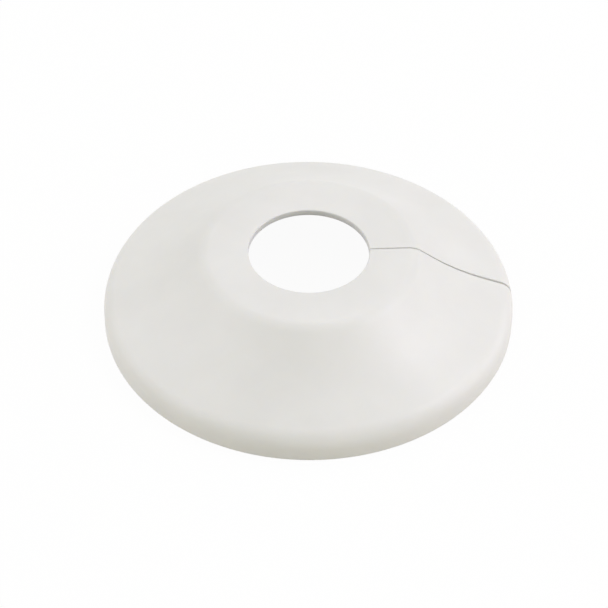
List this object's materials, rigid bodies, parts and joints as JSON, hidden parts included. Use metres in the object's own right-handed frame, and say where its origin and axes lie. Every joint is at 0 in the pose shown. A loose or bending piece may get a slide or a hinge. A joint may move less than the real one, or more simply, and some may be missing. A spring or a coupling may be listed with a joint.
{
  "type": "split pipe escutcheon",
  "caption": "Round domed plastic cover plate with a central pipe bore and a slit from bore to rim; it hides the rough hole where a sprinkler pipe leaves a wall or ceiling.",
  "frame": {"origin": "on the axis of the pipe bore, in the plane of the plate's back, which meets the wall or ceiling", "axes": "+Z along the pipe, away from the wall and out of the flat top; +X along the slit; +Y completes the right-handed frame"},
  "size_m": [0.0762, 0.0762, 0.0152],
  "materials": {
    "white_plastic": "satin moulded white, faintly warm"
  },
  "bodies": {
    "root": {"split_plate": "white_plastic"}
  },
  "joints": []
}
